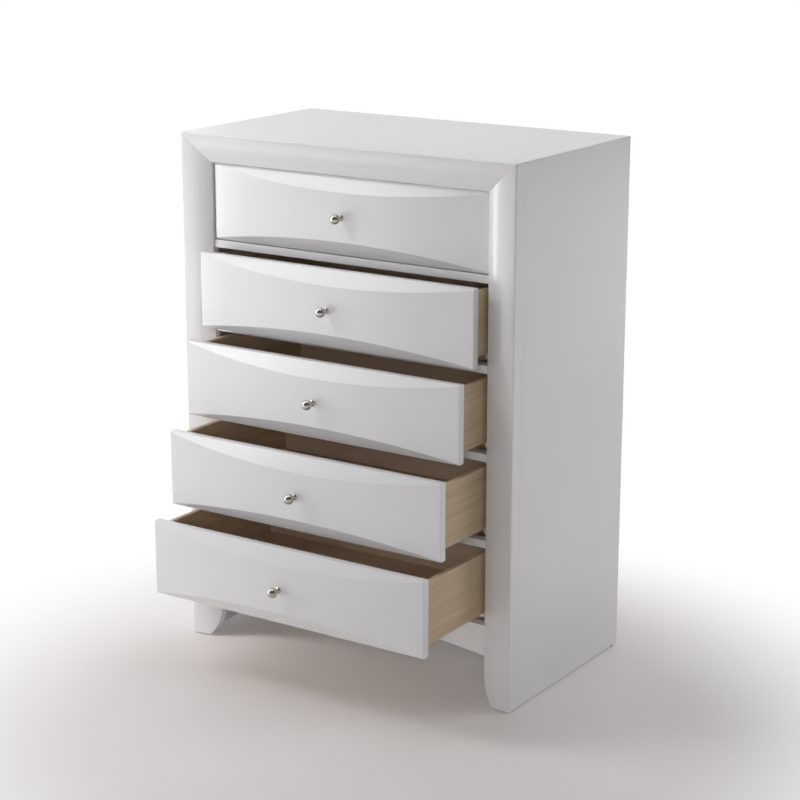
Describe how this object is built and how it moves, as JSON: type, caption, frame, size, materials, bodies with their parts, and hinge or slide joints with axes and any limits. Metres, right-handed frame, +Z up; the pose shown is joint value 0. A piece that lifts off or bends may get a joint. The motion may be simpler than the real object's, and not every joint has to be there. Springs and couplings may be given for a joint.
{
  "type": "tall chest of drawers",
  "caption": "Tall white lacquered chest of drawers with a mitred convex front frame, bowed bevelled drawer fronts, round knobs, wooden drawer boxes and roller runners.",
  "frame": {"origin": "on the floor, under the middle of the carcass footprint, drawers not counted", "axes": "+Z up, +X to the right of a person facing the drawers, -Y towards that person, so the drawers open along -Y"},
  "size_m": [0.889, 0.781, 1.219],
  "materials": {
    "white_lacquer": "satin white lacquer on board",
    "drawer_wood": "pale hardwood, thin clear coat",
    "drawer_bottom_wood": "brown laminated board",
    "carcass_wood": "bare softwood",
    "back_board": "plain hardboard",
    "satin_nickel": "polished nickel plate",
    "zinc_steel": "zinc plated",
    "guide_nylon": "white moulded nylon",
    "roller_nylon": "white moulded nylon",
    "glide_nylon": "dark moulded nylon"
  },
  "bodies": {
    "carcass": {"left_front_post": "white_lacquer", "right_front_post": "white_lacquer", "top_front_rail": "white_lacquer", "top_panel": "white_lacquer", "left_side_panel": "white_lacquer", "right_side_panel": "white_lacquer", "back_panel": "back_board", "rear_rail": "carcass_wood", "apron": "white_lacquer", "bottom_rail": "carcass_wood", "floor_glides": "glide_nylon", "drawer_rail_1": "white_lacquer", "drawer_rail_2": "white_lacquer", "drawer_rail_3": "white_lacquer", "drawer_rail_4": "white_lacquer", "center_tracks": "zinc_steel", "track_sockets": "guide_nylon", "roller_brackets": "zinc_steel", "roller_axles": "zinc_steel"},
    "drawer_1": {"drawer_1_front": "white_lacquer", "drawer_1_left_side": "drawer_wood", "drawer_1_right_side": "drawer_wood", "drawer_1_back": "drawer_wood", "drawer_1_bottom": "drawer_bottom_wood", "drawer_1_guide": "guide_nylon", "drawer_1_knob": "satin_nickel"},
    "drawer_2": {"drawer_2_front": "white_lacquer", "drawer_2_left_side": "drawer_wood", "drawer_2_right_side": "drawer_wood", "drawer_2_back": "drawer_wood", "drawer_2_bottom": "drawer_bottom_wood", "drawer_2_guide": "guide_nylon", "drawer_2_knob": "satin_nickel"},
    "drawer_3": {"drawer_3_front": "white_lacquer", "drawer_3_left_side": "drawer_wood", "drawer_3_right_side": "drawer_wood", "drawer_3_back": "drawer_wood", "drawer_3_bottom": "drawer_bottom_wood", "drawer_3_guide": "guide_nylon", "drawer_3_knob": "satin_nickel"},
    "drawer_4": {"drawer_4_front": "white_lacquer", "drawer_4_left_side": "drawer_wood", "drawer_4_right_side": "drawer_wood", "drawer_4_back": "drawer_wood", "drawer_4_bottom": "drawer_bottom_wood", "drawer_4_guide": "guide_nylon", "drawer_4_knob": "satin_nickel"},
    "drawer_5": {"drawer_5_front": "white_lacquer", "drawer_5_left_side": "drawer_wood", "drawer_5_right_side": "drawer_wood", "drawer_5_back": "drawer_wood", "drawer_5_bottom": "drawer_bottom_wood", "drawer_5_guide": "guide_nylon", "drawer_5_knob": "satin_nickel"},
    "rollers_1": {"front_rollers_1": "roller_nylon"},
    "rollers_2": {"front_rollers_2": "roller_nylon"},
    "rollers_3": {"front_rollers_3": "roller_nylon"},
    "rollers_4": {"front_rollers_4": "roller_nylon"},
    "rollers_5": {"front_rollers_5": "roller_nylon"}
  },
  "joints": [
    {"name": "drawer_1_slide", "type": "slide", "parent": "carcass", "child": "drawer_1", "axis": [0, -1, 0], "range_m": [0, 0.3]},
    {"name": "drawer_2_slide", "type": "slide", "parent": "carcass", "child": "drawer_2", "axis": [0, -1, 0], "range_m": [-0.058, 0.242]},
    {"name": "drawer_3_slide", "type": "slide", "parent": "carcass", "child": "drawer_3", "axis": [0, -1, 0], "range_m": [-0.112, 0.188]},
    {"name": "drawer_4_slide", "type": "slide", "parent": "carcass", "child": "drawer_4", "axis": [0, -1, 0], "range_m": [-0.182, 0.118]},
    {"name": "drawer_5_slide", "type": "slide", "parent": "carcass", "child": "drawer_5", "axis": [0, -1, 0], "range_m": [-0.247, 0.053]},
    {"name": "rollers_1_spin", "type": "hinge", "parent": "carcass", "child": "rollers_1", "pos_m": [0, -0.196, 0.9877], "axis": [1, 0, 0], "range_deg": [-10, 1647]},
    {"name": "rollers_2_spin", "type": "hinge", "parent": "carcass", "child": "rollers_2", "pos_m": [0, -0.196, 0.7907], "axis": [1, 0, 0], "range_deg": [-326.5, 1330.5]},
    {"name": "rollers_3_spin", "type": "hinge", "parent": "carcass", "child": "rollers_3", "pos_m": [0, -0.196, 0.5937], "axis": [1, 0, 0], "range_deg": [-621.2, 1035.9]},
    {"name": "rollers_4_spin", "type": "hinge", "parent": "carcass", "child": "rollers_4", "pos_m": [0, -0.196, 0.3967], "axis": [1, 0, 0], "range_deg": [-1003.1, 653.9]},
    {"name": "rollers_5_spin", "type": "hinge", "parent": "carcass", "child": "rollers_5", "pos_m": [0, -0.196, 0.1997], "axis": [1, 0, 0], "range_deg": [-1357.8, 299.2]}
  ],
  "couplings": [
    {"joint": "rollers_1_spin", "follows": "drawer_1_slide", "rad_per_m": 95.238},
    {"joint": "rollers_2_spin", "follows": "drawer_2_slide", "rad_per_m": 95.238},
    {"joint": "rollers_3_spin", "follows": "drawer_3_slide", "rad_per_m": 95.238},
    {"joint": "rollers_4_spin", "follows": "drawer_4_slide", "rad_per_m": 95.238},
    {"joint": "rollers_5_spin", "follows": "drawer_5_slide", "rad_per_m": 95.238}
  ]
}
